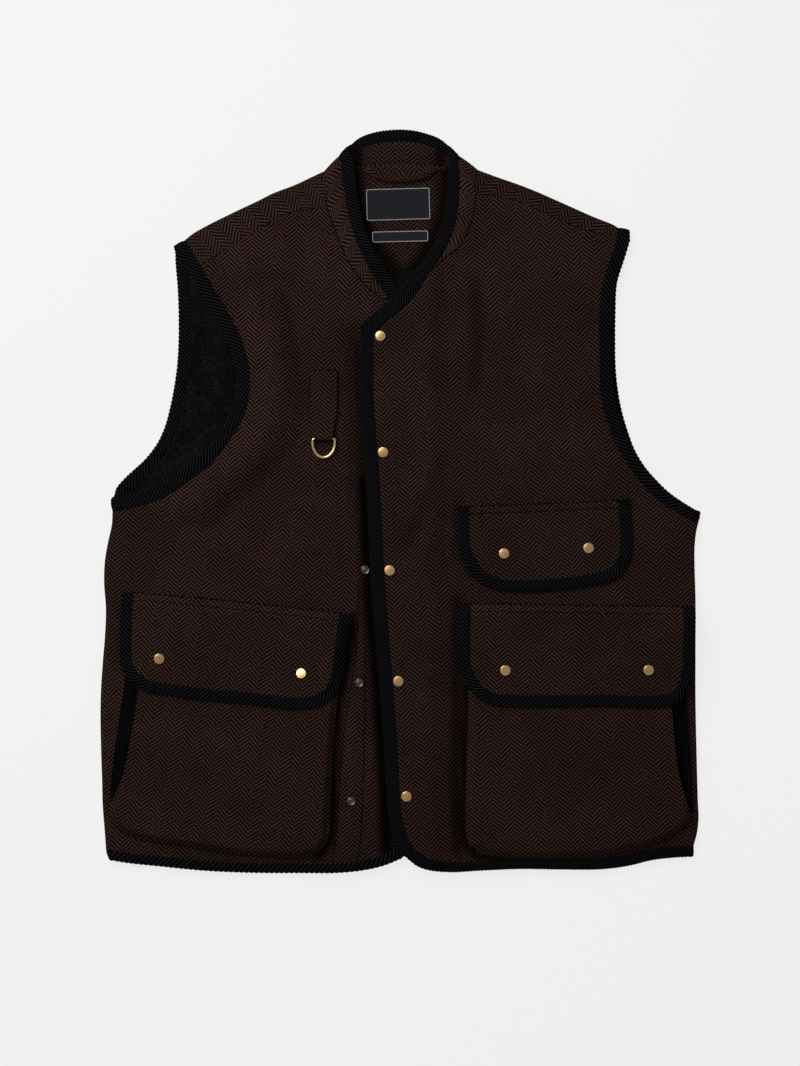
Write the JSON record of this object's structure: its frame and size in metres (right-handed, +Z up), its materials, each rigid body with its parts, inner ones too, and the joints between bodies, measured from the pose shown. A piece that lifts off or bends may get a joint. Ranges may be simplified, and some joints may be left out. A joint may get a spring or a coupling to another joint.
{
  "type": "shooting vest, laid flat",
  "caption": "Sleeveless tweed shooting vest laid flat: braid-bound edges, snap front, flapped cargo pockets with ribbed gussets, chest flap and a lifting metal ring on a tab.",
  "frame": {"origin": "middle of the bounding box, on the plane that the garment lies on", "axes": "+Z up out of the floor, +Y from hem to collar, +X towards the wearer's left"},
  "size_m": [0.601, 0.7448, 0.0186],
  "materials": {
    "tweed": "dark brown herringbone wool tweed, matt",
    "braid": "near-black ribbed braid, matt",
    "fleece": "dark pile fleece",
    "rib": "black rib knit",
    "label": "black woven satin, bare",
    "brass": "aged polish",
    "steel": "plated"
  },
  "bodies": {
    "vest": {"back": "tweed", "back_facing": "tweed", "front_right": "tweed", "front_left": "tweed", "collar": "tweed", "pocket_right": "tweed", "pocket_left": "tweed", "flap_right": "tweed", "flap_left": "tweed", "flap_chest": "tweed", "ring_tab": "tweed", "hanger_loop": "tweed", "binding_neck": "braid", "binding_front_right": "braid", "binding_front_left": "braid", "binding_hem_back": "braid", "binding_armhole_right": "braid", "binding_armhole_left": "braid", "binding_flap_right": "braid", "binding_flap_left": "braid", "binding_flap_chest": "braid", "lining_back": "fleece", "gusset_right": "rib", "gusset_left": "rib", "label_main": "label", "label_size": "label", "cap_front_1": "brass", "cap_front_2": "brass", "cap_front_3": "brass", "cap_front_4": "brass", "cap_front_5": "brass", "cap_chest_1": "brass", "cap_chest_2": "brass", "cap_left_1": "brass", "cap_left_2": "brass", "cap_right_1": "brass", "cap_right_2": "brass", "stud_front_3": "steel", "stud_front_4": "steel", "stud_front_5": "steel"},
    "ring": {"d_ring": "brass"}
  },
  "joints": [
    {"name": "ring_lift", "type": "hinge", "parent": "vest", "child": "ring", "pos_m": [-0.07683, 0.06202, 0.0106], "axis": [-1, 0, 0], "range_deg": [0, 150]}
  ]
}
